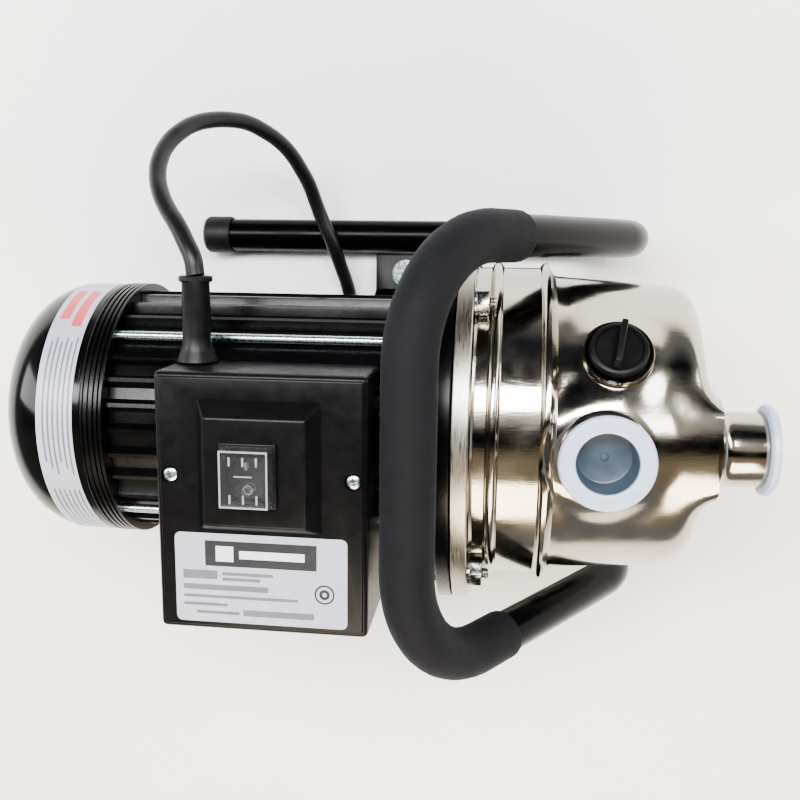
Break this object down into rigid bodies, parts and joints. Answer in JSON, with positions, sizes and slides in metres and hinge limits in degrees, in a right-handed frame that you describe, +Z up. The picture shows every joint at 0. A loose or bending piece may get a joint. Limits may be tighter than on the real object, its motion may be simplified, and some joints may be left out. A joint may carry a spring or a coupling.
{
  "type": "shallow well jet pump",
  "caption": "Portable shallow well jet pump: a finned electric motor with a switch box drives a stainless pump body, carried in a bent tube frame with a foam-gripped handle.",
  "frame": {"origin": "on the floor under the middle of the pump, in the plane of the shaft", "axes": "+Z up, +X along the shaft from the fan cover to the suction port, +Y towards the side where the cord leaves the terminal box"},
  "size_m": [0.4102, 0.2931, 0.2675],
  "materials": {
    "frame_paint": "gloss black paint on steel tube",
    "foam": "fine-celled dark foam sleeve",
    "black_rubber": "matte black rubber",
    "zinc": "bright zinc plate",
    "motor_black": "cast aluminium, painted gloss black",
    "cover_paint": "pressed steel, painted gloss black",
    "steel": "plain machined steel",
    "copper_winding": "varnished copper wire",
    "fan_plastic": "moulded engineering plastic",
    "stainless": "polished stainless steel, brushed at the flange rim",
    "milky_plastic": "milky blue-white soft plastic",
    "knob_plastic": "satin black moulded plastic",
    "seal_ceramic": "white ceramic face",
    "box_plastic": "semi-matte black moulded plastic with a fine grain",
    "switch_plastic": "black moulded plastic",
    "clear_plastic": "clear soft cover over the switch",
    "cord_jacket": "round black cable jacket"
  },
  "bodies": {
    "base": {"frame_tube": "frame_paint", "foam_grip": "foam", "end_cap_left": "black_rubber", "end_cap_right": "black_rubber", "frame_crossbar": "frame_paint", "motor_foot": "frame_paint", "foot_bolt_left": "zinc", "foot_bolt_right": "zinc", "motor_housing": "motor_black", "stator_core": "steel", "winding_rear": "copper_winding", "winding_front": "copper_winding", "rear_end_shield": "motor_black", "fan_cover": "cover_paint", "rear_bearing": "steel", "front_bearing": "steel", "motor_bracket": "motor_black", "tie_rod_1": "zinc", "tie_rod_2": "zinc", "tie_rod_3": "zinc", "tie_rod_4": "zinc", "body_bolt_1": "steel", "body_bolt_2": "steel", "body_bolt_3": "steel", "body_bolt_4": "steel", "pump_body": "stainless", "suction_port": "stainless", "discharge_port": "stainless", "back_plate": "stainless", "body_seal": "black_rubber", "seal_seat": "seal_ceramic", "diffuser": "fan_plastic", "venturi": "fan_plastic", "nozzle": "fan_plastic", "box_base": "box_plastic", "box_cover": "box_plastic", "cover_screw_1": "zinc", "cover_screw_2": "zinc", "capacitor": "fan_plastic", "terminal_strip": "fan_plastic", "strain_relief": "black_rubber", "switch_housing": "switch_plastic", "switch_cover": "clear_plastic", "cord_lead": "cord_jacket", "cord_coil": "cord_jacket", "plug": "black_rubber"},
    "rotor": {"shaft": "steel", "rotor_core": "steel", "cooling_fan": "fan_plastic", "impeller": "stainless", "impeller_nut": "steel", "seal_head": "steel"},
    "rocker": {"rocker": "switch_plastic"},
    "fill_seal": {"fill_plug_seal": "black_rubber"},
    "fill_plug": {"fill_plug": "knob_plastic"},
    "drain_seal": {"drain_plug_seal": "black_rubber"},
    "drain_plug": {"drain_plug": "knob_plastic"},
    "suction_cap": {"suction_cap": "milky_plastic"},
    "discharge_cap": {"discharge_cap": "milky_plastic"}
  },
  "joints": [
    {"name": "rotor_spin", "type": "hinge", "parent": "base", "child": "rotor", "pos_m": [0, 0, 0.12705], "axis": [1, 0, 0], "continuous": true},
    {"name": "switch_rock", "type": "hinge", "parent": "base", "child": "rocker", "pos_m": [-0.0476, -0.01, 0.23705], "axis": [1, 0, 0], "range_deg": [-24, 0]},
    {"name": "fill_plug_lift", "type": "slide", "parent": "base", "child": "fill_seal", "axis": [0, 0.5592, 0.829], "range_m": [0, 0.012]},
    {"name": "fill_plug_turn", "type": "hinge", "parent": "fill_seal", "child": "fill_plug", "pos_m": [0.1263, 0, 0.12705], "axis": [0, 0.5592, 0.829], "range_deg": [0, 2160]},
    {"name": "drain_plug_lift", "type": "slide", "parent": "base", "child": "drain_seal", "axis": [1, 0, 0], "range_m": [0, 0.012]},
    {"name": "drain_plug_turn", "type": "hinge", "parent": "drain_seal", "child": "drain_plug", "pos_m": [0.173, 0, 0.07705], "axis": [1, 0, 0], "range_deg": [0, 2160]},
    {"name": "suction_cap_pull", "type": "slide", "parent": "base", "child": "suction_cap", "axis": [1, 0, 0], "range_m": [0, 0.035]},
    {"name": "discharge_cap_pull", "type": "slide", "parent": "base", "child": "discharge_cap", "axis": [0, 0, 1], "range_m": [0, 0.035]}
  ],
  "couplings": [
    {"joint": "fill_plug_lift", "follows": "fill_plug_turn", "m_per_rad": 0.000318},
    {"joint": "drain_plug_lift", "follows": "drain_plug_turn", "m_per_rad": 0.000318}
  ]
}
